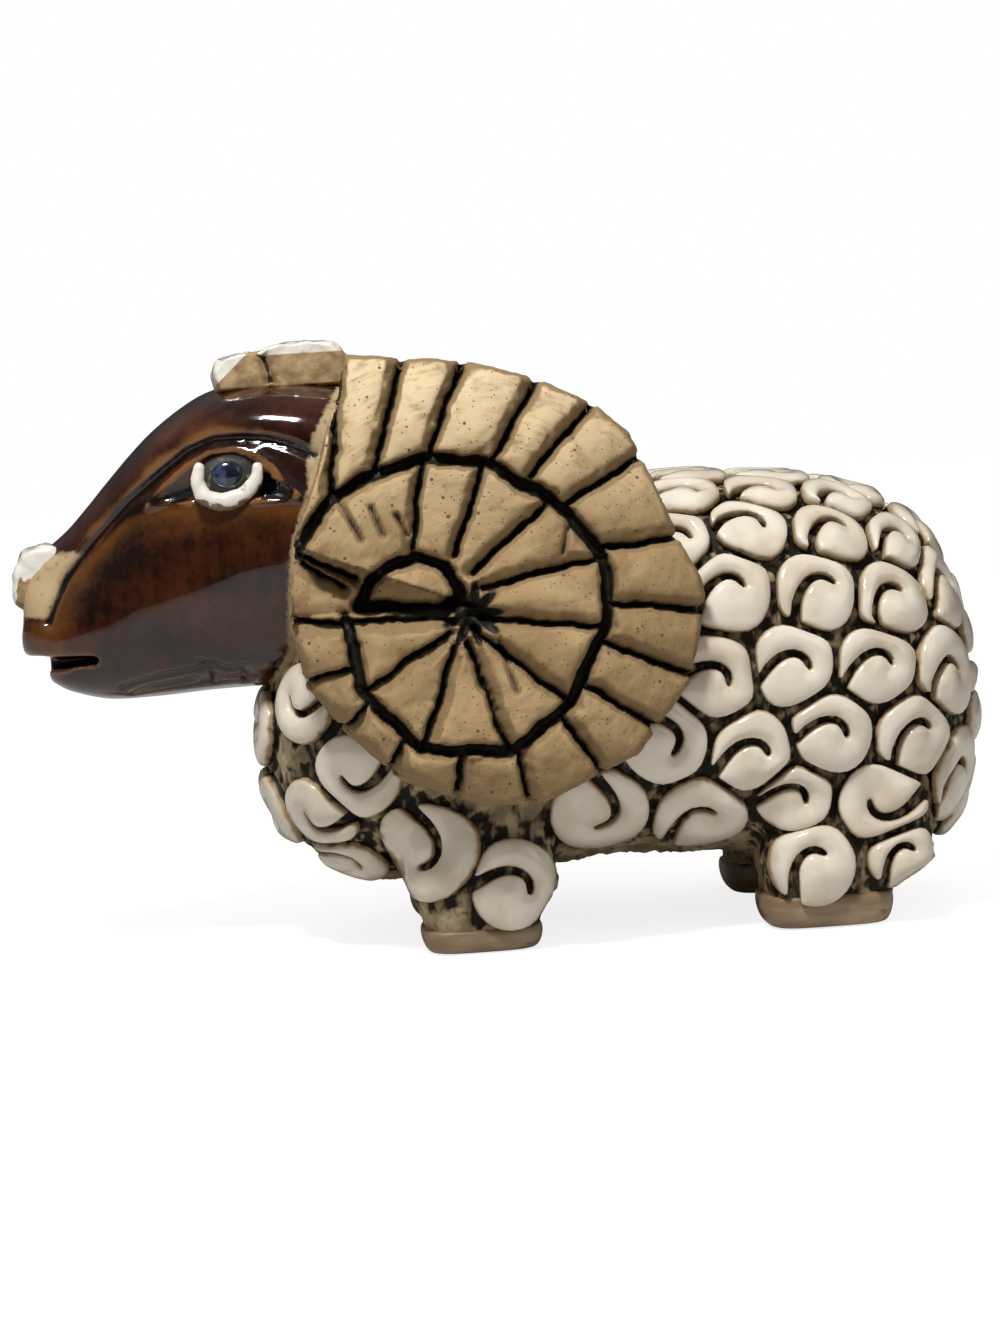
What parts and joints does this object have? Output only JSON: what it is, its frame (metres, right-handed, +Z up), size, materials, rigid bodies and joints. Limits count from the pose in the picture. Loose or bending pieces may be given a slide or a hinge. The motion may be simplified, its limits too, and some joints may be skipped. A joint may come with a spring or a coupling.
{
  "type": "ram figurine",
  "caption": "Standing ceramic ram with a long smooth head, carved coiled horns and a fleece of comma-shaped relief curls on a rounded body with stubby legs.",
  "frame": {"origin": "centre of the bounding box in plan, on the plane that the hooves stand on", "axes": "+X from the muzzle towards the rump, so the ram faces -X; its left flank faces -Y; +Z up"},
  "size_m": [0.1261, 0.0732, 0.0787],
  "materials": {
    "bare_clay": "matt tan clay with brushed dark wash in its grooves",
    "washed_clay": "rough clay mottled with near-black wash",
    "white_glaze": "glossy white glaze, tan where it thins at the edges",
    "brown_glaze": "glossy streaked dark brown glaze, amber at the edges",
    "pupil_glaze": "glossy dark blue glaze"
  },
  "bodies": {
    "root": {"ram_figurine": "bare_clay"}
  },
  "joints": []
}
